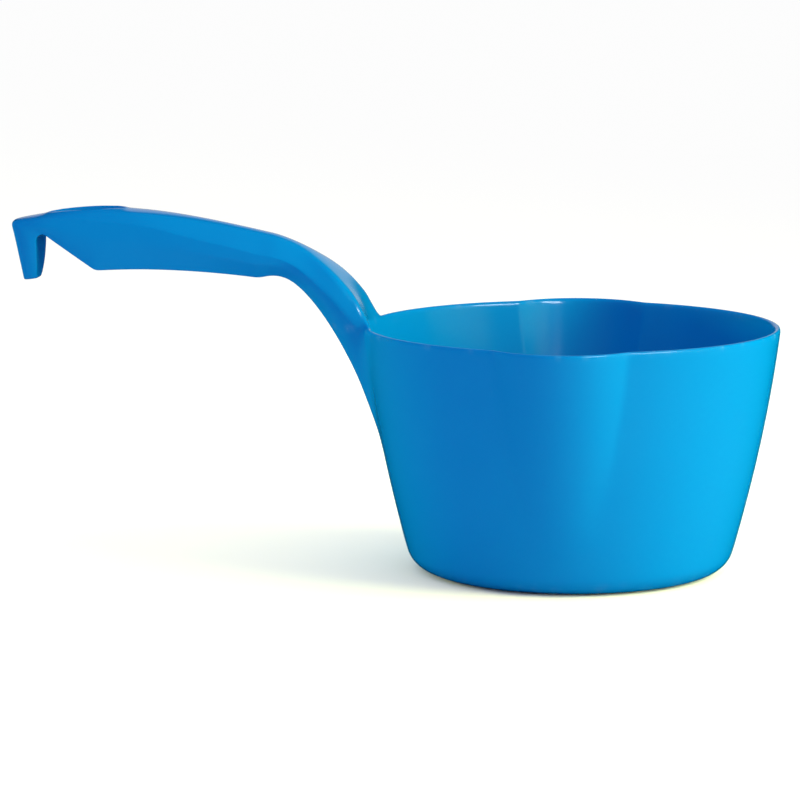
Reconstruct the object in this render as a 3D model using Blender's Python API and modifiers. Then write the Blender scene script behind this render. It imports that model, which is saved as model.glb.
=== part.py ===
"""Bowl scoop with two pouring lips: one plastic moulding, modelled as bowl, neck, grip and hook.

Metres, +Z up. The origin is the centre of the bowl's flat base, the handle runs toward -X,
and the shape is symmetric about the XZ plane.
"""
import math

import bmesh
import bpy
from mathutils import Vector

# ---- driving dimensions (metres) -------------------------------------------------------------
RIM_RADIUS = 0.0900          # outside of the round part of the rim
HEIGHT = 0.1060              # base to rim
BASE_RADIUS = 0.0682         # where the wall's line would meet the base plane
WALL_BULGE = 0.0024          # how far the wall bows out halfway up
BASE_FILLET = 0.0120         # outside radius between wall and base
WALL = 0.0026                # bowl wall thickness
RIM_ROUNDING = 0.0007

LIP_REACH = 0.0095           # how far a pouring lip stands out at the rim
LIP_RADIUS = 0.0350          # plan radius of a pouring lip
LIP_START = 0.0150           # height where the lips grow out of the wall
LIP_BLEND = 0.0035           # softness of the valley between lip and wall

ROOT_FOOT_Z = 0.0570         # height where the neck's underside leaves the bowl wall
NECK_END_X = -0.1270
FINGER_STOP_X = -0.1343
GRIP_END_X = -0.2055         # the underside turns up toward the notch here
HOOK_SEAM_X = -0.2220
NECK_SEAM_X = -0.1310
NOTCH_RADIUS = 0.0029
NOTCH_CENTRE = (-0.2285, 0.1411)
NOTCH_START = math.radians(31)      # the underside's ramp meets the notch at this turn
HOOK_CORNER = (-0.2430, 0.1495)
HOOK_SHOULDER = (-0.2418, 0.1468)   # the hook's outer edge starts here, below the rounded corner
HOOK_TIP = (-0.2379, 0.1234)
HOOK_FACE_FOOT = (-0.2314, 0.1290)  # the inner face is flat from the notch down to here
HOOK_INNER_TIP = (-0.2325, 0.1243)

CORE_WALL = 0.0030           # handle walls beside the hollow underneath
CORE_ROOF = 0.0042           # and above it
CORE_START_X = -0.2120
CORE_END_X = -0.1040
DISH_CENTRE_X = -0.2105      # thumb dish in the top of the grip
DISH_LENGTH = 0.0350
DISH_WIDTH = 0.0165
DISH_DEPTH = 0.0045
DISH_STOPS = ((-0.180, 0.0), (-0.195, 1.0), (-0.240, 1.0))   # where the hollow's roof dips for it

SPAN_SIDE = 0.04             # the boxes that divide the handle reach this far to each side
SPAN_FLOOR = 0.03
SPAN_CEILING = 0.19
SPAN_BOWL_X = -0.04
SPAN_FREE_X = -0.27

GAP = 0.0003                 # clearance between neighbouring sub-parts
RING_POINTS = 96             # points round the bowl
WALL_STEPS = 9               # rings up the wall
FILLET_STEPS = 4

BLUE = (0.0, 0.205, 0.578, 1.0)


# ---- scene helpers ---------------------------------------------------------------------------
def clear_scene():
    for old in list(bpy.data.objects):
        bpy.data.objects.remove(old, do_unlink=True)


def new_collection(name):
    group = bpy.data.collections.new(name)
    bpy.context.scene.collection.children.link(group)
    return group


def add_object(name, bm, group):
    mesh = bpy.data.meshes.new(name)
    bm.to_mesh(mesh)
    bm.free()
    obj = bpy.data.objects.new(name, mesh)
    group.objects.link(obj)
    return obj


def plastic(name, roughness):
    material = bpy.data.materials.new(name)
    material.use_nodes = True
    shader = material.node_tree.nodes["Principled BSDF"]
    shader.inputs["Base Color"].default_value = BLUE
    shader.inputs["Roughness"].default_value = roughness
    shader.inputs["Metallic"].default_value = 0.0
    return material


def cut(obj, cutter, operation="DIFFERENCE"):
    modifier = obj.modifiers.new(operation.title() + "_" + cutter.name, "BOOLEAN")
    modifier.operation = operation
    modifier.solver = "EXACT"
    modifier.object = cutter


def as_cutter(obj):
    obj.hide_render = True
    obj.display_type = "WIRE"
    return obj


def loft(rings, cap_first=True, cap_last=True):
    """Skin a row of equally long closed rings; faces point outwards."""
    bm = bmesh.new()
    loops = [[bm.verts.new(point) for point in ring] for ring in rings]
    count = len(loops[0])
    for low, high in zip(loops, loops[1:]):
        for i in range(count):
            j = (i + 1) % count
            bm.faces.new((low[i], low[j], high[j], high[i]))
    if cap_first:
        bm.faces.new(reversed(loops[0]))
    if cap_last:
        bm.faces.new(loops[-1])
    bmesh.ops.recalc_face_normals(bm, faces=bm.faces)
    return bm


def box_cutter(name, low, high, group):
    bpy.ops.mesh.primitive_cube_add(size=1.0)
    obj = bpy.context.object
    obj.name = name
    for owner in list(obj.users_collection):
        owner.objects.unlink(obj)
    group.objects.link(obj)
    low, high = Vector(low), Vector(high)
    obj.location = (low + high) / 2
    obj.scale = high - low
    return as_cutter(obj)


# ---- curves ----------------------------------------------------------------------------------
def bezier(p0, p1, p2, p3, steps):
    points = []
    for i in range(steps + 1):
        t = i / steps
        s = 1 - t
        weights = (s * s * s, 3 * s * s * t, 3 * s * t * t, t * t * t)
        points.append(tuple(sum(w * p[k] for w, p in zip(weights, (p0, p1, p2, p3)))
                            for k in (0, 1)))
    return points


def line(start, end, steps):
    return [tuple(start[k] + (end[k] - start[k]) * i / steps for k in (0, 1))
            for i in range(steps + 1)]


def blend_between(x, stops):
    """Smoothly interpolate a value between (x, value) stops, the highest x first."""
    if x >= stops[0][0]:
        return stops[0][1]
    for (x0, v0), (x1, v1) in zip(stops, stops[1:]):
        if x >= x1:
            t = (x0 - x) / (x0 - x1)
            t = t * t * (3 - 2 * t)
            return v0 + (v1 - v0) * t
    return stops[-1][1]


# ---- bowl ------------------------------------------------------------------------------------
def wall_radius(z):
    t = z / HEIGHT
    return BASE_RADIUS + (RIM_RADIUS - BASE_RADIUS) * t + 4 * WALL_BULGE * t * (1 - t)


def soft_max(a, b, softness):
    h = min(max(0.5 + 0.5 * (a - b) / softness, 0.0), 1.0)
    return b + (a - b) * h + softness * h * (1 - h)


def lip_distance(angle, centre):
    """Distance from the bowl's axis to a lip's round front, or 0 outside it."""
    inside = LIP_RADIUS ** 2 - (centre * math.sin(angle)) ** 2
    if inside <= 0 or math.cos(angle) <= 0:
        return 0.0
    return centre * math.cos(angle) + math.sqrt(inside)


def bowl_ring(radius, z, grow=0.0):
    """The outline at height z: a circle with a lip toward +Y and one toward -Y."""
    reach = LIP_REACH * max(0.0, (z - LIP_START) / (HEIGHT - LIP_START))
    ring = []
    for i in range(RING_POINTS):
        angle = 2 * math.pi * i / RING_POINTS
        distance = radius
        if reach > 0:
            side = math.pi / 2 if math.sin(angle) >= 0 else -math.pi / 2
            lip = lip_distance(angle - side, radius + reach - LIP_RADIUS)
            distance = soft_max(radius, lip, LIP_BLEND)
        distance += grow
        ring.append((distance * math.cos(angle), distance * math.sin(angle), z))
    return ring


def bowl_rings(grow=0.0):
    """Rings from the flat base to the rim, on a surface grown outwards from the outside."""
    slope = math.atan((RIM_RADIUS - BASE_RADIUS + 4 * WALL_BULGE) / HEIGHT)
    flat = BASE_RADIUS + BASE_FILLET * (math.tan(slope) - 1 / math.cos(slope))
    fillet = BASE_FILLET + grow
    rings = []
    for i in range(FILLET_STEPS + 1):
        turn = -math.pi / 2 + (math.pi / 2 - slope) * i / FILLET_STEPS
        z = BASE_FILLET + fillet * math.sin(turn)
        rings.append(bowl_ring(flat + fillet * math.cos(turn), z))
    top_of_fillet = BASE_FILLET * (1 - math.sin(slope))
    for i in range(1, WALL_STEPS + 1):
        z = top_of_fillet + (HEIGHT - top_of_fillet) * i / WALL_STEPS
        rings.append(bowl_ring(wall_radius(z), z, grow))
    return rings


def make_bowl(group):
    """One skin up the outside, over the flat rim and down the inside."""
    inside = bowl_rings(grow=-WALL)
    bowl = add_object("bowl", loft(bowl_rings() + inside[::-1]), group)
    edge = bowl.modifiers.new("Rim_rounding", "BEVEL")
    edge.width = RIM_ROUNDING
    edge.segments = 2
    edge.limit_method = "ANGLE"
    edge.angle_limit = math.radians(60)
    bowl.data.materials.append(plastic("bowl_blue_polypropylene", 0.32))
    return bowl


def bowl_clearance(group):
    """The bowl's outside, grown by the gap: what is taken out of the neck."""
    rings = bowl_rings(grow=GAP)
    top = [(x, y, HEIGHT + GAP) for x, y, z in rings[-1]]
    return as_cutter(add_object("bowl_clearance", loft(rings + [top]), group))


# ---- handle outlines in the XZ plane ---------------------------------------------------------
NECK_END_TOP = (NECK_END_X, 0.1438)
NECK_END_UNDER = (NECK_END_X, 0.1269)
FINGER_STOP = (FINGER_STOP_X, 0.1257)
NECK_TOP = ((-0.0874, HEIGHT), (-0.0886, 0.1170), (-0.1020, 0.1360), NECK_END_TOP)
GRIP_TOP = (NECK_END_TOP, (-0.1500, 0.1490), (-0.1760, 0.1546), (-0.1970, 0.1546))
END_TOP = ((-0.1970, 0.1546), (-0.2130, 0.1546), (-0.2260, 0.1532), HOOK_CORNER)
NECK_UNDER = ((-0.0823, ROOT_FOOT_Z), (-0.0905, 0.0860), (-0.1125, 0.1276), NECK_END_UNDER)
GRIP_UNDER = (FINGER_STOP, (-0.1550, 0.1283), (-0.1800, 0.1302), (GRIP_END_X, 0.1283))


def top_height(x):
    """Height of the handle's top over x, between the neck's end and the hook's corner."""
    points = bezier(*GRIP_TOP, 24) + bezier(*END_TOP, 24)[1:]
    for (x0, z0), (x1, z1) in zip(points, points[1:]):
        if x >= x1:
            return z0 + (z1 - z0) * (x0 - x) / (x0 - x1)
    return points[-1][1]


def ribs():
    """Pairs of points, top and underside, from the bowl wall along the handle to the hook's tip."""
    pairs = list(zip(bezier(*NECK_TOP, 12), bezier(*NECK_UNDER, 12)))
    for x, z in line(NECK_END_UNDER, FINGER_STOP, 2)[1:]:
        pairs.append(((x, top_height(x)), (x, z)))
    for x, z in bezier(*GRIP_UNDER, 10)[1:]:
        pairs.append(((x, top_height(x)), (x, z)))
    turns = [NOTCH_START + (math.pi - NOTCH_START) * i / 5 for i in range(6)]
    notch = [(NOTCH_CENTRE[0] + NOTCH_RADIUS * math.cos(turn),
              NOTCH_CENTRE[1] + NOTCH_RADIUS * math.sin(turn)) for turn in turns]
    for x, z in line(GRIP_UNDER[-1], notch[0], 4)[1:]:
        pairs.append(((x, top_height(x)), (x, z)))
    over = line((notch[0][0], 0.0), (HOOK_CORNER[0], 0.0), 4)[1:]
    outer = [(x, top_height(x)) for x, _ in over] + [HOOK_SHOULDER]
    pairs += list(zip(outer, notch[1:]))
    inner = line(notch[-1], HOOK_FACE_FOOT, 4)[1:] + line(HOOK_FACE_FOOT, HOOK_INNER_TIP, 2)[1:]
    pairs += list(zip(line(HOOK_SHOULDER, HOOK_TIP, 6)[1:], inner))
    return pairs


# half-widths along the handle: (x, value) from the bowl outwards
TOP_HALF = ((-0.088, 0.0185), (-0.096, 0.0180), (-0.118, 0.0066), (-0.150, 0.0063),
            (-0.200, 0.0102), (-0.226, 0.0106), (-0.243, 0.0090))
SHOULDER_HALF = ((-0.088, 0.0205), (-0.098, 0.0198), (-0.122, 0.0133), (-0.200, 0.0130),
                 (-0.226, 0.0126), (-0.243, 0.0106))
UNDER_HALF = ((-0.088, 0.0060), (-0.099, 0.0092), (-0.134, 0.0090), (-0.175, 0.0108),
              (-0.226, 0.0122), (-0.243, 0.0120))
SHOULDER_DROP = ((-0.088, 0.04), (-0.100, 0.48), (-0.122, 0.52), (-0.150, 0.40), (-0.190, 0.22),
                 (-0.215, 0.15), (-0.243, 0.15))
# share of the full width that is left at each height down the hook, highest first
TONGUE_HALF = ((0.1440, 1.00), (0.1385, 0.95), (0.1330, 0.83), (0.1277, 0.68), (0.1243, 0.48))
CROWN = 0.0008               # the top is this much higher along its middle


def rib_section(top, under, inset=0.0, roof=0.0, floor=0.0):
    """The ten-sided section on one rib, optionally shrunk to shape the hollow."""
    x = top[0]
    narrow = blend_between(under[1], TONGUE_HALF) if x < HOOK_SEAM_X else 1.0
    down = Vector((under[0] - top[0], 0.0, under[1] - top[1]))
    origin = Vector((top[0], 0.0, top[1]))
    depth = down.length
    unit = down / depth
    start = roof / depth
    end = 1.0 + floor / depth
    drop = blend_between(x, SHOULDER_DROP)
    top_half = blend_between(x, TOP_HALF) * narrow - inset
    shoulder_half = blend_between(x, SHOULDER_HALF) * narrow - inset
    under_half = blend_between(x, UNDER_HALF) * narrow - inset
    lower_half = shoulder_half + (under_half - shoulder_half) * 0.4
    corner = start + CROWN / depth
    half = ((0.0, start), (top_half, corner), (shoulder_half, max(drop, start + 0.10)),
            (lower_half, max(drop + (end - drop) * 0.55, start + 0.20)), (under_half, end))
    right = [origin + unit * (depth * v) + Vector((0.0, w, 0.0)) for w, v in half]
    left = [Vector((p.x, -p.y, p.z)) for p in right[:0:-1]]
    return right + left


def handle_blank(group):
    """The whole handle, still solid and reaching into the bowl wall."""
    pairs = ribs()
    inward = Vector((0.004, 0.0, 0.0))
    rings = [rib_section(top, under) for top, under in pairs]
    rings.insert(0, [point + inward for point in rings[0]])
    return as_cutter(add_object("handle_blank", loft(rings), group))


def hollow_cutter(group):
    """The hollow that keeps the handle's walls thin; it opens underneath."""
    pairs = [(top, under) for top, under in ribs()
             if CORE_START_X <= under[0] <= CORE_END_X]
    rings = []
    for top, under in pairs:
        roof = CORE_ROOF + DISH_DEPTH * blend_between(top[0], DISH_STOPS)
        rings.append(rib_section(top, under, CORE_WALL, roof, floor=0.004))
    return as_cutter(add_object("hollow_cutter", loft(rings), group))


def dish_cutter(group):
    """An ellipsoid sunk into the top of the grip."""
    bm = bmesh.new()
    bmesh.ops.create_uvsphere(bm, u_segments=32, v_segments=16, radius=1.0)
    bmesh.ops.scale(bm, verts=bm.verts, vec=(DISH_LENGTH / 2, DISH_WIDTH / 2, DISH_DEPTH))
    place = Vector((DISH_CENTRE_X, 0.0, top_height(DISH_CENTRE_X) + CROWN))
    bmesh.ops.translate(bm, verts=bm.verts, vec=place)
    return as_cutter(add_object("dish_cutter", bm, group))


def make_handle(parts, cutters):
    blank = handle_blank(cutters)
    hollow = hollow_cutter(cutters)
    dish = dish_cutter(cutters)
    clearance = bowl_clearance(cutters)
    spans = {"neck": (NECK_SEAM_X + GAP / 2, SPAN_BOWL_X),
             "grip": (HOOK_SEAM_X + GAP / 2, NECK_SEAM_X - GAP / 2),
             "hook": (SPAN_FREE_X, HOOK_SEAM_X - GAP / 2)}
    for name, (low_x, high_x) in spans.items():
        obj = bpy.data.objects.new(name, blank.data.copy())
        parts.objects.link(obj)
        region = box_cutter(name + "_span", (low_x, -SPAN_SIDE, SPAN_FLOOR),
                            (high_x, SPAN_SIDE, SPAN_CEILING), cutters)
        cut(obj, region, "INTERSECT")
        if name != "hook":
            cut(obj, hollow)
        if name != "neck":
            cut(obj, dish)
        else:
            cut(obj, clearance)
        obj.data.materials.append(plastic(name + "_blue_polypropylene", 0.34))


def main():
    clear_scene()
    parts = new_collection("bowl_scoop")
    cutters = new_collection("cutters")
    make_bowl(parts)
    make_handle(parts, cutters)


main()
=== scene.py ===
"""Blue bowl scoop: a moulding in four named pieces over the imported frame, with its studio stage."""
import math

import bmesh
import bpy
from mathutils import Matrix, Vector


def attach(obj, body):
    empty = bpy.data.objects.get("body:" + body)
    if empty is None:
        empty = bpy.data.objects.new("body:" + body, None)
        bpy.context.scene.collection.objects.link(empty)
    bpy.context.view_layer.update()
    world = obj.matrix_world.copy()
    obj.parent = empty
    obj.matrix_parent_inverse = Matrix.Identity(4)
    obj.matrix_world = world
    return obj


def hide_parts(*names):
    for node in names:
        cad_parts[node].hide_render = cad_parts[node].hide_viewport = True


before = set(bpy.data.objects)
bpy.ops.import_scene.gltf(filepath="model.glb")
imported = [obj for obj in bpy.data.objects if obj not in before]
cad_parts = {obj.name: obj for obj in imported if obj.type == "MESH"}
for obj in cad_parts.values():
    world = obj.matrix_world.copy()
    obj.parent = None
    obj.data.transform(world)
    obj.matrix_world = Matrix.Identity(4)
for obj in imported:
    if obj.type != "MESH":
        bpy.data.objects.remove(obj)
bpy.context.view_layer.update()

bl_info = {
    "name": "Moulded Bowl Scoop",
    "version": (1, 0, 0),
    "blender": (4, 5, 0),
    "location": "View3D > Sidebar > Bowl Scoop",
    "description": "Builds a moulded bowl scoop with pouring lips and an arched handle",
    "category": "Object",
}

# ---- sizes that the moulding shares with the frame (metres) ----------------------------------
RIM_RADIUS = 0.0900
HEIGHT = 0.1060
BASE_RADIUS = 0.0682
WALL_BULGE = 0.0024          # how far the wall bows out halfway up
BASE_FILLET = 0.0120
WALL = 0.0026
LIP_REACH = 0.0095
LIP_RADIUS = 0.0350
LIP_START = 0.0150
LIP_BLEND = 0.0010           # how softly a lip runs into the wall

ROOT_FOOT_Z = 0.0570
NECK_END_X = -0.1270
FINGER_STOP_X = -0.1343
GRIP_END_X = -0.2055
HOOK_CORNER = (-0.2430, 0.1495)
NOTCH_CENTRE = (-0.2285, 0.1411)
NOTCH_RADIUS = 0.0029
NOTCH_START = math.radians(31)     # the underside's ramp meets the notch at this turn

# the handle's outlines seen from the side: curves of four (x, z) points
NECK_TOP = ((-0.0874, 0.1060), (-0.0886, 0.1170), (-0.1020, 0.1360), (NECK_END_X, 0.1438))
GRIP_TOP = ((NECK_END_X, 0.1438), (-0.1500, 0.1490), (-0.1760, 0.1546), (-0.1970, 0.1546))
END_TOP = ((-0.1970, 0.1546), (-0.2130, 0.1546), (-0.2260, 0.1532), HOOK_CORNER)
NECK_UNDER = ((-0.0823, ROOT_FOOT_Z), (-0.0905, 0.0860), (-0.1125, 0.1276), (NECK_END_X, 0.1269))
GRIP_UNDER = ((FINGER_STOP_X, 0.1257), (-0.1550, 0.1283), (-0.1800, 0.1302), (GRIP_END_X, 0.1283))
HOOK_OUTER = ((-0.2428, 0.1462), (-0.2415, 0.1400), (-0.2401, 0.1310), (-0.2391, 0.1230))
HOOK_FACE = ((NOTCH_CENTRE[0] - NOTCH_RADIUS, NOTCH_CENTRE[1]), (-0.2314, 0.1360),
             (-0.2315, 0.1300), (-0.2325, 0.1239))

# half-widths along the handle: (x, value) from the bowl outwards
TOP_HALF = ((-0.088, 0.0185), (-0.096, 0.0180), (-0.118, 0.0066), (-0.150, 0.0063),
            (-0.200, 0.0102), (-0.226, 0.0106), (-0.243, 0.0090))
SHOULDER_HALF = ((-0.088, 0.0205), (-0.098, 0.0198), (-0.122, 0.0133), (-0.200, 0.0130),
                 (-0.226, 0.0126), (-0.243, 0.0106))
UNDER_HALF = ((-0.088, 0.0080), (-0.099, 0.0092), (-0.134, 0.0090), (-0.175, 0.0108),
              (-0.226, 0.0122), (-0.243, 0.0120))
# how far down the side the shoulder lies: (x, share of the section's depth)
SHOULDER_DROP = ((-0.088, 0.14), (-0.0945, 0.46), (-0.106, 0.53), (-0.122, 0.52), (-0.150, 0.40),
                 (-0.190, 0.22), (-0.215, 0.15), (-0.243, 0.15))
# how the tongue narrows toward its tip: (z, share of the full width)
TONGUE_HALF = ((0.1440, 1.00), (0.1385, 0.95), (0.1330, 0.83), (0.1277, 0.66), (0.1250, 0.48),
               (0.1239, 0.32))
TONGUE_START_X = -0.2222
# a second, fainter edge along the side: (x, strength), and its place down the side
FOLD = ((-0.116, 0.0), (-0.128, 1.0), (-0.158, 1.0), (-0.172, 0.0))
FOLD_SHARE = 0.43
FOLD_TAPER = 0.2             # above the fold the side narrows at this share of its mean rate
SIDE_BULGE = 0.0012          # how far the side bows out between the shoulder and the bottom
FOLD_FLATTENING = 0.7        # share of the bulge that the fold takes away
CROWN = 0.0009               # how far the top's two edges lie below its middle

HOLLOW_WALL = 0.0028
HOLLOW_SPAN = (-0.2160, -0.1100)
HOLLOW_SPREAD = 0.75         # draws the inner columns together, evenly across the opening
ROOF = 0.0045                # thickness over the hollow, and what is added under the dish
ROOF_UNDER_DISH = 0.0040
ROOF_STEP = ((-0.180, 0.0), (-0.195, 1.0))

DISH_CENTRE_X = -0.2105      # thumb dish in the top of the grip
DISH_LENGTH = 0.0350
DISH_WIDTH = 0.0165
DISH_DEPTH = 0.0045
DISH_SPAN = (-0.2290, -0.1930)
DISH_EDGE = 0.0010           # width of the strip round the dish
DISH_WALL_REACH = 0.92       # points inside the dish's rim keep within this share of its outline

# the moulding's pieces, one for each node, and where one ends and the next begins
NODES = ("bowl", "neck", "grip", "hook")
NECK_SEAM_X = -0.1310
HOOK_SEAM_X = -0.2220
ROOT_CORE = (-0.0895, 0.0, 0.0940)   # inside the neck: the middle of the face where the wall ends

# ---- the control cage ------------------------------------------------------------------------
SEGMENTS = 96                # columns round the bowl
PATCH = 4                    # columns each side of the handle that the neck grows from
BASE_RING = 0.93             # the cage's first ring under the base, a share of the flat's radius
FLOOR_RING = 0.92            # its last ring on the bowl's inner floor
OUTER_FILLET_STEPS = 6
INNER_FILLET_STEPS = 5
RIM_SUPPORT = 0.0028         # depth below the rim of the rows that keep it crisp
LOW_ROWS = (0.019, 0.031, 0.044)               # wall rows below the neck's foot
SIDE_ROWS = (0.0690, 0.0790, 0.0870, 0.0940)   # wall rows beside the neck, above its foot
INNER_ROWS = (0.094, 0.080, 0.064, 0.048, 0.032, 0.019)     # down the inner wall
RIM_ROWS = 3                 # the rows at the rim, which keep even columns

LIP_COLUMNS = 5              # columns from a lip's middle to the valley where it meets the wall
LIP_SETTLE = 4               # columns past the valley over which the spacing evens out
LEAST_VALLEY = math.radians(9)
VALLEY_EVENING = ((0.031, 0.0), (0.004, 1.0))  # (z, share) by which low rows go back to even columns
VALLEY_CREASE = ((0.080, 0.45), (0.019, 0.0))

PATCH_SQUEEZE = ((0.094, 0.0), (ROOT_FOOT_Z, 0.42), (0.044, 0.2), (0.019, 0.0))
SQUEEZE_REACH = 4            # in half-widths of the patch
SQUEEZE_FADE = 1.3

# stations along the handle: shares of a curve, (x, z) places, x alone, or how many there are
NECK_STATIONS = (0.27, 0.36, 0.45, 0.54, 0.63, 0.72, 0.81, 0.90, 1.0)
STOP_APPROACH = (-0.1308, 0.1266)
GRIP_STATIONS = (0.06, 0.18, 0.32, 0.46, 0.60, 0.73, 0.84, 0.94, 1.0)
RAMP_STATIONS = (0.08, 0.36, 0.68, 0.93)
NOTCH_STATIONS = 5
NOTCH_TOP_X = (-0.2290, -0.2330, -0.2375, -0.2414)
CORNER_STATION = (-0.2436, 0.1490)
TONGUE_STATIONS = (0.18, 0.36, 0.54, 0.72, 0.87, 0.96, 1.0)

HUG_END_X = -0.110           # the neck's sections curve with the wall up to here
HUG_LENGTH = 0.022
GATHER = 0.30                # how far the first ring has left the wall toward the first station
GATHER_RIM = 0.85            # and how far it has closed in sideways, at the rim and on the wall
GATHER_WALL = 0.55
TIP_INSET = 0.35             # how far the tip's closing ring is drawn toward its middle

# a section's loop: across the top, down one side, across the bottom and up the other side
SIDE_SHARES = (0.0, 0.09, 0.25, FOLD_SHARE, 0.70, 0.88)   # down the side, 0 at the shoulder
SIDE_POINTS = len(SIDE_SHARES)
TOP = range(0, 2 * PATCH + 1)
BOTTOM = range(TOP.stop + SIDE_POINTS, 2 * TOP.stop + SIDE_POINTS)
LOOP = 2 * (TOP.stop + SIDE_POINTS)
SHOULDERS = (TOP.stop, LOOP - 1)
FOLDS = (SHOULDERS[0] + SIDE_SHARES.index(FOLD_SHARE), SHOULDERS[1] - SIDE_SHARES.index(FOLD_SHARE))

TOP_EDGE_CREASE = ((-0.088, 0.30), (-0.095, 0.0), (-0.125, 0.0), (-0.150, 0.55), (-0.243, 0.55))
SHOULDER_CREASE = 0.6
SHOULDER_END_X = -0.222
FOLD_CREASE = 0.4
BOTTOM_CREASE = 0.45
STOP_CREASE = 0.8
DISH_CREASE = 0.7
HOLLOW_CREASE = 0.6

# ---- the plastic -----------------------------------------------------------------------------
PLASTIC_IOR = 1.49
PLASTIC_SPECULAR = 0.2
ROUGHNESS = 0.11
CLOUD_SCALE = 14.0
CLOUD_ROUGHNESS = 0.06
GRAIN_SCALE = 700.0
GRAIN_STRENGTH = 0.06
GRAIN_DEPTH = 0.0003
SCUFF_SCALE = 160.0
SCUFF_STRETCH = (1.0, 1.0, 0.15)
SCUFF_RANGE = (0.55, 0.70)
FOOT_WEAR = (0.0070, 0.0005)       # heights between which the wear at the foot grows
RIM_WEAR = (HEIGHT - 0.0030, HEIGHT - 0.0008)
RIM_WEAR_END = (HEIGHT + 0.0016, HEIGHT + 0.0006)     # over the rim, so that the neck stays unworn
WEAR_COLOUR = 0.10
WEAR_ROUGHNESS = 0.15

# ---- the stage -------------------------------------------------------------------------------
FLOOR_CLEARANCE = 0.0002
FLOOR_WHITE = (0.93, 0.93, 0.93, 1.0)
FLOOR_ROUGHNESS = 0.6
LIGHT_SPREAD = math.radians(110)
LIGHT_TARGET = (-0.03, 0.0, 0.07)
LIGHTS = (                   # name, place, size, power, colour, and what it lights
    ("side_softbox", (0.86, -0.20, 0.36), (0.75, 0.75), 10.6, (1.0, 1.0, 0.38), "diffuse"),
    ("low_left_card", (-1.1, 0.60, 0.12), (0.3, 0.3), 7.5, (1.0, 1.0, 0.30), "diffuse"),
    ("side_strip", (1.02, -0.86, 0.82), (0.8, 0.22), 9.0, (1.0, 1.0, 1.0), "glossy"),
    ("back_card", (-0.3, 2.5, 0.6), (1.2, 1.2), 0.9, (1.0, 1.0, 1.0), "glossy"),
)
WORLD_COLOUR = (1.0, 1.0, 1.0, 1.0)
HORIZON_STRENGTH = 0.86
ZENITH_STRENGTH = 1.15
CAMERA_DISTANCE = 1.546      # from the bowl's axis, level
CAMERA_HEIGHT = 0.304
CAMERA_SIDE = -0.0738
CAMERA_PITCH = math.radians(8.49)
CAMERA_REACH = 50.0
HANDLE_TURN = math.radians(5.8)    # the handle's free end points this far away from the viewer


# ---- curves ----------------------------------------------------------------------------------
def bezier(curve, t):
    s = 1 - t
    weights = (s * s * s, 3 * s * s * t, 3 * s * t * t, t * t * t)
    return tuple(sum(w * p[k] for w, p in zip(weights, curve)) for k in (0, 1))


def mix(a, b, t):
    return tuple(p + (q - p) * t for p, q in zip(a, b))


def along(x, stops):
    """Smoothly interpolate between (place, value) stops, listed from the highest place down."""
    if x >= stops[0][0]:
        return stops[0][1]
    for (x0, v0), (x1, v1) in zip(stops, stops[1:]):
        if x >= x1:
            t = (x0 - x) / (x0 - x1)
            return v0 + (v1 - v0) * t * t * (3 - 2 * t)
    return stops[-1][1]


def top_height(x):
    """Height of the handle's top over x, from the rim to the hook's corner, found by halving."""
    curve = next((c for c in (NECK_TOP, GRIP_TOP) if x >= c[3][0]), END_TOP)
    low, high = 0.0, 1.0
    for _ in range(30):
        middle = (low + high) / 2
        if bezier(curve, middle)[0] > x:
            low = middle
        else:
            high = middle
    return bezier(curve, low)[1]


# ---- the bowl's outline ----------------------------------------------------------------------
def wall_radius(z):
    t = z / HEIGHT
    return BASE_RADIUS + (RIM_RADIUS - BASE_RADIUS) * t + 4 * WALL_BULGE * t * (1 - t)


def lip_reach(z):
    """How far a pouring lip stands out of the wall at a height."""
    return LIP_REACH * max(0.0, (z - LIP_START) / (HEIGHT - LIP_START))


def soft_max(a, b, softness):
    """The larger of two values, rounded where they cross."""
    h = min(max(0.5 + 0.5 * (a - b) / softness, 0.0), 1.0)
    return b + (a - b) * h + softness * h * (1 - h)


def outline(angle, radius, z):
    """Distance from the bowl's axis to a level outline with its two pouring lips."""
    reach = lip_reach(z)
    if reach == 0:
        return radius
    centre = radius + reach - LIP_RADIUS
    side = math.pi / 2 if math.sin(angle) >= 0 else -math.pi / 2
    inside = LIP_RADIUS ** 2 - (centre * math.sin(angle - side)) ** 2
    if inside <= 0:
        return radius
    lip = centre * math.cos(angle - side) + math.sqrt(inside)
    return soft_max(radius, lip, LIP_BLEND)


def column_angle(column, radius, z):
    """Angle of a cage column: even, but drawn aside near a lip, to lay one in each valley."""
    step = 2 * math.pi / SEGMENTS
    side = SEGMENTS // 4 if column < SEGMENTS // 2 else 3 * SEGMENTS // 4
    offset = column - side
    away = abs(offset)
    if away >= LIP_COLUMNS + LIP_SETTLE:
        return column * step
    centre = radius + lip_reach(z) - LIP_RADIUS
    level = (radius ** 2 + centre ** 2 - LIP_RADIUS ** 2) / (2 * centre)
    valley = max(math.acos(min(level / radius, 1.0)), LEAST_VALLEY)
    valley += (LIP_COLUMNS * step - valley) * along(z, VALLEY_EVENING)
    if away <= LIP_COLUMNS:
        turn = valley * away / LIP_COLUMNS
    else:
        even = (LIP_COLUMNS + LIP_SETTLE) * step
        turn = valley + (even - valley) * (away - LIP_COLUMNS) / LIP_SETTLE
    return side * step + math.copysign(turn, offset)


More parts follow.
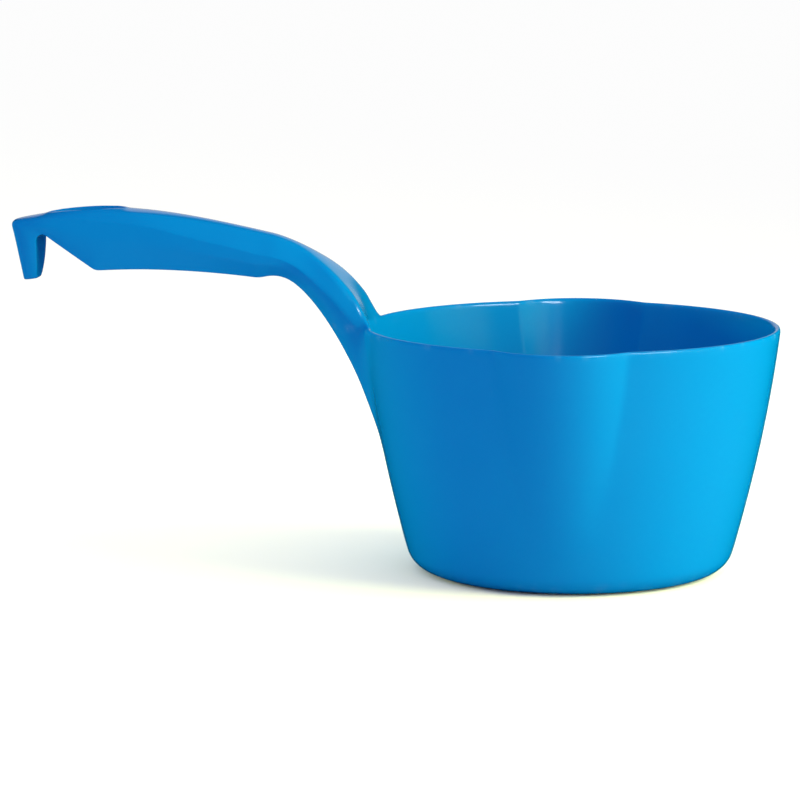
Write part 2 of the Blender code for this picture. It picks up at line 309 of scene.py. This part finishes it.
def profile():
    """(radius, z) of the cage's rings: up the outside to the rim, and down the inside."""
    slope = math.atan((RIM_RADIUS - BASE_RADIUS + 4 * WALL_BULGE) / HEIGHT)
    flat = BASE_RADIUS + BASE_FILLET * (math.tan(slope) - 1 / math.cos(slope))

    def fillet(radius, steps):
        turns = [-math.pi / 2 + (math.pi / 2 - slope) * i / steps for i in range(steps + 1)]
        return [(flat + radius * math.cos(a), BASE_FILLET + radius * math.sin(a)) for a in turns]

    outer_rows = LOW_ROWS + (ROOT_FOOT_Z,) + SIDE_ROWS + (HEIGHT - RIM_SUPPORT, HEIGHT)
    outside = [(flat * BASE_RING, 0.0)] + fillet(BASE_FILLET, OUTER_FILLET_STEPS)
    outside += [(wall_radius(z), z) for z in outer_rows]
    inside = [(wall_radius(z) - WALL, z) for z in (HEIGHT, HEIGHT - RIM_SUPPORT) + INNER_ROWS]
    inside += fillet(BASE_FILLET - WALL, INNER_FILLET_STEPS)[::-1] + [(flat * FLOOR_RING, WALL)]
    return outside, inside


# ---- handle sections -------------------------------------------------------------------------
def handle_stations():
    """(top, under, sharp) of each station from the bowl's wall to the hook's tip."""
    stations = [(bezier(NECK_TOP, t), bezier(NECK_UNDER, t), False) for t in NECK_STATIONS]

    def upright(under, sharp=False):
        stations.append(((under[0], top_height(under[0])), under, sharp))

    upright(STOP_APPROACH)
    upright(GRIP_UNDER[0], sharp=True)
    for t in GRIP_STATIONS:
        upright(bezier(GRIP_UNDER, t), sharp=t == 1.0)
    turns = [NOTCH_START + (math.pi - NOTCH_START) * i / NOTCH_STATIONS
             for i in range(NOTCH_STATIONS + 1)]
    notch = [(NOTCH_CENTRE[0] + NOTCH_RADIUS * math.cos(a),
              NOTCH_CENTRE[1] + NOTCH_RADIUS * math.sin(a)) for a in turns]
    for t in RAMP_STATIONS:
        upright(mix(GRIP_UNDER[-1], notch[0], t))
    outer = [(x, top_height(x)) for x in NOTCH_TOP_X] + [CORNER_STATION, HOOK_OUTER[0]]
    stations += [(top, under, False) for top, under in zip(outer, notch)]
    stations += [(bezier(HOOK_OUTER, t), bezier(HOOK_FACE, t), False) for t in TONGUE_STATIONS]
    return stations


def section(top, under):
    """LOOP points round one station: across the top, down a side, across the bottom and back up."""
    x = top[0]
    origin = Vector((top[0], 0.0, top[1]))
    down = Vector((under[0] - top[0], 0.0, under[1] - top[1]))
    depth = down.length
    unit = down / depth
    narrow = along(under[1], TONGUE_HALF) if x < TONGUE_START_X else 1.0
    drop = along(x, SHOULDER_DROP)
    top_half = along(x, TOP_HALF) * narrow
    shoulder = along(x, SHOULDER_HALF) * narrow
    foot = along(x, UNDER_HALF) * narrow
    hug = max(0.0, min(1.0, (x - HUG_END_X) / HUG_LENGTH)) / (2 * RIM_RADIUS)

    def point(y, share):
        place = origin + unit * (depth * share)
        return Vector((place.x + hug * y * y, y, place.z))

    across = [i / PATCH for i in range(-PATCH, PATCH + 1)]
    upper = [point(top_half * f, CROWN / depth * f * f) for f in across]
    fold = along(x, FOLD)
    side = []
    for share in SIDE_SHARES:
        bent = share * FOLD_TAPER
        if share > FOLD_SHARE:
            bent = 1.0 - (1.0 - share) / (1.0 - FOLD_SHARE) * (1.0 - FOLD_SHARE * FOLD_TAPER)
        taper = share + (bent - share) * fold
        bulge = SIDE_BULGE * math.sin(math.pi * share) * (1.0 - FOLD_FLATTENING * fold)
        side.append(point(shoulder + (foot - shoulder) * taper + bulge, drop + (1 - drop) * share))
    lower = [point(foot * f, 1.0) for f in reversed(across)]
    back = [Vector((p.x, -p.y, p.z)) for p in reversed(side)]
    return upper + side + lower + back


# ---- mesh steps ------------------------------------------------------------------------------
def ordered(verts):
    """Vertices of a ring in their order round the bowl, from +X through +Y."""
    return sorted(verts, key=lambda v: round(math.atan2(v.co.y, v.co.x), 5) % (2 * math.pi))


def grow_ring(bm, edges, radius, z):
    """Extrude a ring of edges and lay the new one on the bowl's outline."""
    made = bmesh.ops.extrude_edge_only(bm, edges=edges)["geom"]
    verts = ordered([v for v in made if isinstance(v, bmesh.types.BMVert)])
    for column, v in enumerate(verts):
        angle = column_angle(column, radius, z)
        distance = outline(angle, radius, z)
        v.co = Vector((distance * math.cos(angle), distance * math.sin(angle), z))
    fresh = set(verts)
    new_edges = [e for e in {e for v in verts for e in v.link_edges} if fresh.issuperset(e.verts)]
    return new_edges, verts


def cap(bm, edges):
    bmesh.ops.edgeloop_fill(bm, edges=edges)


def narrow_patch(rows):
    """Draw the columns under the neck together toward its foot."""
    middle = SEGMENTS // 2
    for row in rows:
        z = row[0].co.z
        squeeze = along(z, PATCH_SQUEEZE)
        for column, v in enumerate(row):
            offset = (column - middle) / PATCH
            if abs(offset) < SQUEEZE_REACH:
                half = math.radians(360 / SEGMENTS) * PATCH
                fade = math.exp(-max(0.0, abs(offset) - 1.0) * SQUEEZE_FADE)
                shift = -squeeze * half * offset * fade
                if abs(offset) > 1:
                    shift /= abs(offset)
                angle = math.atan2(v.co.y, v.co.x) + shift
                distance = math.hypot(v.co.x, v.co.y)
                v.co = Vector((distance * math.cos(angle), distance * math.sin(angle), z))


def extrude_loop(bm, loop, places):
    """Extrude a closed loop of vertices to places, in the same order, and mark the faces' owner."""
    edges = [bm.edges.get((a, b)) for a, b in zip(loop, loop[1:] + loop[:1])]
    made = bmesh.ops.extrude_edge_only(bm, edges=edges)["geom"]
    fresh = {v for v in made if isinstance(v, bmesh.types.BMVert)}
    result = []
    for old, place in zip(loop, places):
        new = next(e.other_vert(old) for e in old.link_edges if e.other_vert(old) in fresh)
        new.co = place
        result.append(new)
    low_x = min(v.co.x for v in result)
    owner = NODES.index("neck") + (low_x < NECK_SEAM_X) + (low_x < HOOK_SEAM_X)
    for face in {f for v in result for f in v.link_faces}:
        face.material_index = owner
    return result


def set_crease(bm, pairs, value):
    """Firm up the edges between pairs of vertices; a stronger crease stays."""
    layer = bm.edges.layers.float["crease_edge"]
    for a, b in pairs:
        edge = bm.edges.get((a, b))
        edge[layer] = max(edge[layer], value)


def crease_valleys(bm, row, next_row):
    """Firm up the four valleys between the lips and the wall, from nothing at their foot."""
    value = along(row[0].co.z, VALLEY_CREASE)
    for side in (SEGMENTS // 4, 3 * SEGMENTS // 4):
        for column in (side - LIP_COLUMNS, side + LIP_COLUMNS):
            set_crease(bm, [(row[column], next_row[column])], value)


def build_bowl(bm):
    """The bowl's cage; returns the vertex rows from the foot of the neck to the rim's inner edge."""
    outside, inside = profile()
    start = bmesh.ops.create_circle(bm, segments=SEGMENTS, radius=outside[0][0])["verts"]
    edges = list({e for v in start for e in v.link_edges})
    cap(bm, edges)
    rows, last = [], None
    for index, (radius, z) in enumerate(outside[1:] + inside):
        edges, row = grow_ring(bm, edges, radius, z)
        if last:
            crease_valleys(bm, last, row)
        last = row
        if z >= LOW_ROWS[0] and index < len(outside):
            rows.append(row)
    cap(bm, edges)
    narrow_patch(rows[:-RIM_ROWS])
    return rows[len(LOW_ROWS):]


def open_root(bm, rows):
    """Take out the wall and rim under the neck and return the hole's loop of vertices."""
    middle = SEGMENTS // 2
    low, high = middle - PATCH, middle + PATCH
    inner, corner_to_foot = rows[-1], rows[-2::-1]
    # -Y side has the higher column number, because angles run from +X through +Y
    upper = [inner[c] for c in range(high, low - 1, -1)]
    right = [row[low] for row in corner_to_foot[:-1]]
    lower = [rows[0][c] for c in range(low, high + 1)]
    left = [row[high] for row in reversed(corner_to_foot[:-1])]
    doomed = []
    for below, above in zip(rows, rows[1:]):
        for c in range(low, high):
            quad = {below[c], below[c + 1], above[c], above[c + 1]}
            doomed += [f for f in below[c].link_faces if set(f.verts) == quad]
    spare = [v for row in rows[1:-1] for v in row[low + 1:high]]
    bmesh.ops.delete(bm, geom=doomed, context="FACES_ONLY")
    bmesh.ops.delete(bm, geom=spare, context="VERTS")
    return upper + right + lower + left


def build_handle(bm, loop):
    """Extrude the neck, grip and hook out of the wall; returns (rings of vertices, stations)."""
    stations = handle_stations()
    first = section(*stations[0][:2])
    gathered = []
    for vertex, place in zip(loop, first):
        start = vertex.co
        near = start.lerp(place, GATHER)
        draw = GATHER_RIM if start.z > HEIGHT - 1e-5 else GATHER_WALL
        gathered.append(Vector((near.x, start.y + (place.y - start.y) * draw, near.z)))
    loops = [loop, extrude_loop(bm, loop, gathered)]
    for top, under, _ in stations:
        loops.append(extrude_loop(bm, loops[-1], section(top, under)))
    tip = loops[-1]
    middle = sum((v.co for v in tip), Vector()) / len(tip)
    tip = extrude_loop(bm, tip, [v.co.lerp(middle, TIP_INSET) for v in tip])
    cap(bm, [bm.edges.get((a, b)) for a, b in zip(tip, tip[1:] + tip[:1])])
    end = next(f for f in tip[0].link_faces if len(f.verts) == len(tip))
    end.material_index = NODES.index("hook")
    return loops, stations


def crease_handle(bm, loops, stations):
    """Firm up the handle's long edges and the two bends across its underside."""
    for a, b in zip(loops[2:], loops[3:]):
        x = a[0].co.x
        for index in (TOP[0], TOP[-1]):
            set_crease(bm, [(a[index], b[index])], along(x, TOP_EDGE_CREASE))
        for index in SHOULDERS:
            if x > SHOULDER_END_X:
                set_crease(bm, [(a[index], b[index])], SHOULDER_CREASE)
        for index in FOLDS:
            set_crease(bm, [(a[index], b[index])], FOLD_CREASE * along(x, FOLD))
        for index in (BOTTOM[0], BOTTOM[-1]):
            set_crease(bm, [(a[index], b[index])], BOTTOM_CREASE)
    for ring, (_, _, sharp) in zip(loops[2:], stations):
        if sharp:
            set_crease(bm, [(ring[i], ring[i + 1]) for i in BOTTOM[:-1]], STOP_CREASE)


def strip_faces(loops, indices, low_x, high_x):
    """Faces between neighbouring rings in the given columns, where both rings lie in a span."""
    faces = []
    for a, b in zip(loops, loops[1:]):
        if low_x <= b[indices[0]].co.x and a[indices[0]].co.x <= high_x:
            for i in indices[:-1]:
                quad = {a[i], a[i + 1], b[i], b[i + 1]}
                faces += [f for f in a[i].link_faces if set(f.verts) == quad]
    return faces


def sink_dish(bm, faces):
    """Hollow the top of the grip into an elliptical dish with a crisp rim."""
    bmesh.ops.inset_region(
        bm, faces=faces, thickness=DISH_EDGE, use_even_offset=True, use_boundary=True)
    inner = set(faces)
    verts = {v for f in faces for v in f.verts}
    rim = {v for v in verts if not inner.issuperset(v.link_faces)}
    low, high = min(v.co.x for v in verts), max(v.co.x for v in verts)
    half = max(v.co.y for v in verts)
    for v in verts:
        u, w = (2 * v.co.x - low - high) / (high - low), v.co.y / half
        reach = 1.0 if v in rim else min(max(abs(u), abs(w)), DISH_WALL_REACH)
        scale = reach / max(math.hypot(u, w), 1e-6)
        x, y = DISH_CENTRE_X + DISH_LENGTH / 2 * u * scale, DISH_WIDTH / 2 * w * scale
        sink = DISH_DEPTH * math.sqrt(1 - reach * reach)
        v.co = Vector((x, y, top_height(x) + CROWN * 0.5 - sink))
    rim_edges = [e for e in {e for v in rim for e in v.link_edges} if rim.issuperset(e.verts)]
    set_crease(bm, [tuple(e.verts) for e in rim_edges], DISH_CREASE)


def sink_hollow(bm, faces):
    """Core out the underside, up to a roof that follows the grip's top."""
    bmesh.ops.inset_region(bm, faces=faces, thickness=HOLLOW_WALL, use_even_offset=True)
    inner = set(faces)
    verts = {v for f in faces for v in f.verts}
    for v in verts:
        if inner.issuperset(v.link_faces):
            v.co.y *= HOLLOW_SPREAD
    opening = [e for e in {e for v in verts for e in v.link_edges}
               if sum(f in inner for f in e.link_faces) == 1]
    set_crease(bm, [tuple(e.verts) for e in opening], HOLLOW_CREASE)
    made = bmesh.ops.extrude_face_region(bm, geom=faces)["geom"]
    bmesh.ops.delete(bm, geom=[f for f in faces if f.is_valid], context="FACES_ONLY")
    for v in (v for v in made if isinstance(v, bmesh.types.BMVert)):
        v.co.z = top_height(v.co.x) - ROOF - ROOF_UNDER_DISH * along(v.co.x, ROOF_STEP)


# ---- pieces ----------------------------------------------------------------------------------
def subdivided(context, bm, levels):
    """The cage smoothed into the finished skin, as a plain mesh."""
    mesh = bpy.data.meshes.new("scoop_cage")
    bm.to_mesh(mesh)
    bm.free()
    mesh.shade_smooth()
    cage = bpy.data.objects.new("scoop_cage", mesh)
    context.scene.collection.objects.link(cage)
    smooth = cage.modifiers.new("Smooth", "SUBSURF")
    smooth.levels = smooth.render_levels = levels
    skin = bpy.data.meshes.new_from_object(cage.evaluated_get(context.evaluated_depsgraph_get()))
    bpy.data.objects.remove(cage)
    bpy.data.meshes.remove(mesh)
    return skin


def close_cuts(bm):
    """Cap every open edge loop with flat-shaded faces, those at the wall fanned from ROOT_CORE."""
    caps = bmesh.ops.edgeloop_fill(bm, edges=[e for e in bm.edges if e.is_boundary])["faces"]
    for cut in caps:
        if cut.calc_center_median().x > (NECK_SEAM_X + ROOT_CORE[0]) / 2:
            made = bmesh.ops.poke(bm, faces=[cut])
            made["verts"][0].co = ROOT_CORE
        else:
            made = bmesh.ops.triangulate(bm, faces=[cut])
        for face in made["faces"]:
            face.smooth = False


def cut_piece(skin, index):
    """One node's stretch of the skin, closed, and shaded as if the skin still ran on past its ends."""
    bm = bmesh.new()
    bm.from_mesh(skin)
    source = bm.verts.layers.int.new("source")
    for v in bm.verts:
        v[source] = v.index
    bmesh.ops.delete(bm, geom=[f for f in bm.faces if f.material_index != index], context="FACES")
    close_cuts(bm)
    bmesh.ops.recalc_face_normals(bm, faces=bm.faces)
    for face in bm.faces:
        face.material_index = 0
    sources = [v[source] for v in bm.verts]
    bm.verts.layers.int.remove(source)
    mesh = bpy.data.meshes.new(NODES[index] + "_moulding")
    bm.to_mesh(mesh)
    bm.free()
    automatic = Vector()
    mesh.normals_split_custom_set([
        skin.vertices[sources[mesh.loops[i].vertex_index]].normal if face.use_smooth else automatic
        for face in mesh.polygons for i in face.loop_indices])
    return mesh


# ---- materials -------------------------------------------------------------------------------
class Socket:
    """An output socket with arithmetic, so shader maths reads as an expression."""

    def __init__(self, tree, output):
        self.tree = tree
        self.output = output

    def _math(self, operation, *values):
        return node(self.tree, "ShaderNodeMath", {"operation": operation}, dict(enumerate(values)))

    def __add__(self, other):
        return self._math("ADD", self, other)

    __radd__ = __add__

    def __mul__(self, other):
        return self._math("MULTIPLY", self, other)

    __rmul__ = __mul__


def node(tree, kind, settings=None, inputs=None, output=0):
    """Add a node, set its settings, then its inputs from values or sockets."""
    made = tree.nodes.new(kind)
    for name, value in (settings or {}).items():
        setattr(made, name, value)
    for name, value in (inputs or {}).items():
        if isinstance(value, Socket):
            tree.links.new(value.output, made.inputs[name])
        else:
            made.inputs[name].default_value = value
    return Socket(tree, made.outputs[output])


def ramp(tree, value, start, end):
    """0 at start, 1 at end, clamped."""
    inputs = {"Value": value, "From Min": start, "From Max": end}
    return node(tree, "ShaderNodeMapRange", inputs=inputs)


def noise(tree, where, scale, detail):
    inputs = {"Vector": where, "Scale": scale, "Detail": detail}
    return node(tree, "ShaderNodeTexNoise", inputs=inputs)


def blend(tree, share, a, b):
    """One colour going over into another."""
    inputs = {"Factor": share, "A": a, "B": b}
    return node(tree, "ShaderNodeMix", {"data_type": "RGBA"}, inputs, output=2)


def moulded_blue(settings):
    """Polypropylene coloured through: semi-gloss, faint tool texture, slight handling wear."""
    material = bpy.data.materials.new("moulded_blue_polypropylene")
    material.use_nodes = True
    tree = material.node_tree
    shader = tree.nodes["Principled BSDF"]
    where = node(tree, "ShaderNodeTexCoord", output="Object")
    height = node(tree, "ShaderNodeSeparateXYZ", inputs={0: where}, output=2)
    cloud = noise(tree, where, CLOUD_SCALE, 3.0)
    grain = noise(tree, where, GRAIN_SCALE, 2.0)
    stretched = node(tree, "ShaderNodeVectorMath", {"operation": "MULTIPLY"},
                     {0: where, 1: SCUFF_STRETCH})
    marks = ramp(tree, noise(tree, stretched, SCUFF_SCALE, 5.0), *SCUFF_RANGE)
    foot = ramp(tree, height, *FOOT_WEAR)
    rim = ramp(tree, height, *RIM_WEAR) * ramp(tree, height, *RIM_WEAR_END)
    wear = marks * (foot + rim)
    body = blend(tree, cloud, settings.blue_deep, settings.blue_light)
    colour = blend(tree, wear * WEAR_COLOUR, body, settings.blue_rubbed)
    roughness = cloud * CLOUD_ROUGHNESS + wear * WEAR_ROUGHNESS + ROUGHNESS
    relief = node(tree, "ShaderNodeBump",
                  inputs={"Strength": GRAIN_STRENGTH, "Distance": GRAIN_DEPTH, "Height": grain})
    tree.links.new(colour.output, shader.inputs["Base Color"])
    tree.links.new(roughness.output, shader.inputs["Roughness"])
    tree.links.new(relief.output, shader.inputs["Normal"])
    shader.inputs["IOR"].default_value = PLASTIC_IOR
    shader.inputs["Specular IOR Level"].default_value = PLASTIC_SPECULAR
    return material


# ---- settings --------------------------------------------------------------------------------
class ScoopSettings(bpy.types.PropertyGroup):
    smoothness: bpy.props.IntProperty(
        name="Smoothness", description="Subdivision levels of the moulding", default=2, min=1, max=3)
    blue_light: bpy.props.FloatVectorProperty(
        name="Light blue", description="The plastic's lighter tone", subtype="COLOR", size=4,
        default=(0.0, 0.136, 0.485, 1.0), min=0.0, max=1.0)
    blue_deep: bpy.props.FloatVectorProperty(
        name="Deep blue", description="The plastic's deeper tone", subtype="COLOR", size=4,
        default=(0.0, 0.128, 0.460, 1.0), min=0.0, max=1.0)
    blue_rubbed: bpy.props.FloatVectorProperty(
        name="Rubbed blue", description="Where the plastic is rubbed pale", subtype="COLOR", size=4,
        default=(0.10, 0.27, 0.58, 1.0), min=0.0, max=1.0)


class StageSettings(bpy.types.PropertyGroup):
    floor_size: bpy.props.FloatProperty(
        name="Floor size", description="Side of the square floor", default=40.0, unit="LENGTH")
    lens: bpy.props.FloatProperty(
        name="Lens", description="Focal length of the camera in millimetres", default=162.75)


# ---- operators -------------------------------------------------------------------------------
class SCOOP_OT_moulding(bpy.types.Operator):
    """Mould the bowl, neck, grip and hook as one skin, then divide it at the nodes' ends"""
    bl_idname = "scoop.moulding"
    bl_label = "Mould the scoop"

    def execute(self, context):
        settings = context.scene.scoop_settings
        bm = bmesh.new()
        bm.edges.layers.float.new("crease_edge")
        rows = build_bowl(bm)
        loop = open_root(bm, rows)
        loops, stations = build_handle(bm, loop)
        crease_handle(bm, loops, stations)
        bmesh.ops.recalc_face_normals(bm, faces=bm.faces)
        sink_dish(bm, strip_faces(loops, TOP, *DISH_SPAN))
        sink_hollow(bm, strip_faces(loops, BOTTOM, *HOLLOW_SPAN))
        bmesh.ops.recalc_face_normals(bm, faces=bm.faces)
        skin = subdivided(context, bm, settings.smoothness)
        plastic = moulded_blue(settings)
        for index, name in enumerate(NODES):
            piece = bpy.data.objects.new(name + "_moulding", cut_piece(skin, index))
            context.scene.collection.objects.link(piece)
            piece.data.materials.append(plastic)
            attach(piece, "root")
            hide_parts(name)
        bpy.data.meshes.remove(skin)
        return {"FINISHED"}


class SCOOP_OT_stage(bpy.types.Operator):
    """Set the pale floor, the soft studio lights and the camera"""
    bl_idname = "scoop.stage"
    bl_label = "Set the stage"

    def execute(self, context):
        settings = context.scene.stage_settings
        bm = bmesh.new()
        bmesh.ops.create_grid(bm, x_segments=1, y_segments=1, size=settings.floor_size / 2)
        bmesh.ops.translate(bm, verts=bm.verts, vec=(0.0, 0.0, -FLOOR_CLEARANCE))
        mesh = bpy.data.meshes.new("floor")
        bm.to_mesh(mesh)
        bm.free()
        floor = bpy.data.objects.new("floor", mesh)
        context.scene.collection.objects.link(floor)
        white = bpy.data.materials.new("white_floor")
        white.use_nodes = True
        shader = white.node_tree.nodes["Principled BSDF"]
        shader.inputs["Base Color"].default_value = FLOOR_WHITE
        shader.inputs["Roughness"].default_value = FLOOR_ROUGHNESS
        shader.inputs["Specular IOR Level"].default_value = 0.0
        floor.data.materials.append(white)
        floor.visible_glossy = False
        set_world(context)
        for light in LIGHTS:
            add_light(context, *light)
        add_camera(context, settings.lens)
        return {"FINISHED"}


def set_world(context):
    """White all round, brighter overhead than at the horizon, and kept out of the gloss."""
    world = bpy.data.worlds.new("studio")
    world.use_nodes = True
    tree = world.node_tree
    background = tree.nodes["Background"]
    background.inputs["Color"].default_value = WORLD_COLOUR
    direction = node(tree, "ShaderNodeTexCoord", output="Generated")
    up = node(tree, "ShaderNodeSeparateXYZ", inputs={0: direction}, output=2)
    strength = node(tree, "ShaderNodeMapRange",
                    inputs={"Value": up, "To Min": HORIZON_STRENGTH, "To Max": ZENITH_STRENGTH})
    tree.links.new(strength.output, background.inputs["Strength"])
    world.cycles_visibility.glossy = False
    world.cycles.sampling_method = "NONE"
    context.scene.world = world
    context.scene.view_settings.view_transform = "Standard"


def aim_at(obj, place, target):
    obj.location = place
    obj.rotation_euler = (Vector(target) - Vector(place)).to_track_quat("-Z", "Y").to_euler()


def add_light(context, name, place, size, power, colour, use):
    """A lamp that either lights surfaces or only shows in their gloss."""
    light = bpy.data.lights.new(name, "AREA")
    light.shape = "RECTANGLE"
    light.size, light.size_y = size
    light.energy = power
    light.color = colour
    light.spread = LIGHT_SPREAD
    obj = bpy.data.objects.new(name, light)
    obj.visible_camera = False
    obj.visible_diffuse = use == "diffuse"
    obj.visible_glossy = use == "glossy"
    context.scene.collection.objects.link(obj)
    aim_at(obj, place, LIGHT_TARGET)


def add_camera(context, lens):
    camera = bpy.data.cameras.new("camera")
    camera.lens = lens
    camera.clip_end = CAMERA_REACH
    obj = bpy.data.objects.new("camera", camera)
    context.scene.collection.objects.link(obj)
    cos, sin = math.cos(HANDLE_TURN), math.sin(HANDLE_TURN)
    x, y = CAMERA_SIDE, -CAMERA_DISTANCE
    obj.location = (cos * x - sin * y, sin * x + cos * y, CAMERA_HEIGHT)
    obj.rotation_euler = (math.pi / 2 - CAMERA_PITCH, 0.0, HANDLE_TURN)
    context.scene.camera = obj


class SCOOP_PT_panel(bpy.types.Panel):
    """Bowl scoop builder"""
    bl_idname = "SCOOP_PT_panel"
    bl_label = "Bowl Scoop"
    bl_space_type = "VIEW_3D"
    bl_region_type = "UI"
    bl_category = "Bowl Scoop"

    def draw(self, context):
        layout = self.layout
        for group in (context.scene.scoop_settings, context.scene.stage_settings):
            box = layout.box()
            for name in group.bl_rna.properties.keys():
                if name not in {"rna_type", "name"}:
                    box.prop(group, name)
        layout.operator(SCOOP_OT_moulding.bl_idname)
        layout.operator(SCOOP_OT_stage.bl_idname)


CLASSES = (ScoopSettings, StageSettings, SCOOP_OT_moulding, SCOOP_OT_stage, SCOOP_PT_panel)


def register():
    for cls in CLASSES:
        bpy.utils.register_class(cls)
    bpy.types.Scene.scoop_settings = bpy.props.PointerProperty(type=ScoopSettings)
    bpy.types.Scene.stage_settings = bpy.props.PointerProperty(type=StageSettings)


def unregister():
    del bpy.types.Scene.stage_settings
    del bpy.types.Scene.scoop_settings
    for cls in reversed(CLASSES):
        bpy.utils.unregister_class(cls)


def main():
    register()
    bpy.ops.scoop.moulding()
    bpy.ops.scoop.stage()


if __name__ == "__main__":
    main()
